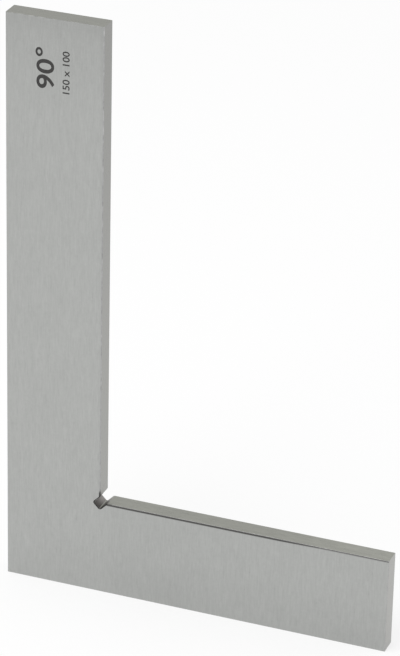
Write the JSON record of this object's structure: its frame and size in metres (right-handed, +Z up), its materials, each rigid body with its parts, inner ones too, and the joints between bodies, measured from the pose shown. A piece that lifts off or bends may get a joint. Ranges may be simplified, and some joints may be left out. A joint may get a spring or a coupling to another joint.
{
  "type": "flat steel square",
  "caption": "Flat ground steel square: a long leg and a short leg at an exact right angle, with a relief slot in the inner corner, for checking and setting right angles.",
  "frame": {"origin": "centre of the standing edge, halfway between heel and toe and between the broad faces", "axes": "+Z up along the long leg, +X from the heel to the toe, broad faces along -Y and +Y"},
  "size_m": [0.1, 0.005, 0.15],
  "materials": {
    "ground_steel": "fine ground, satin, with the grain along the long leg"
  },
  "bodies": {
    "root": {"flat_square": "ground_steel"}
  },
  "joints": []
}
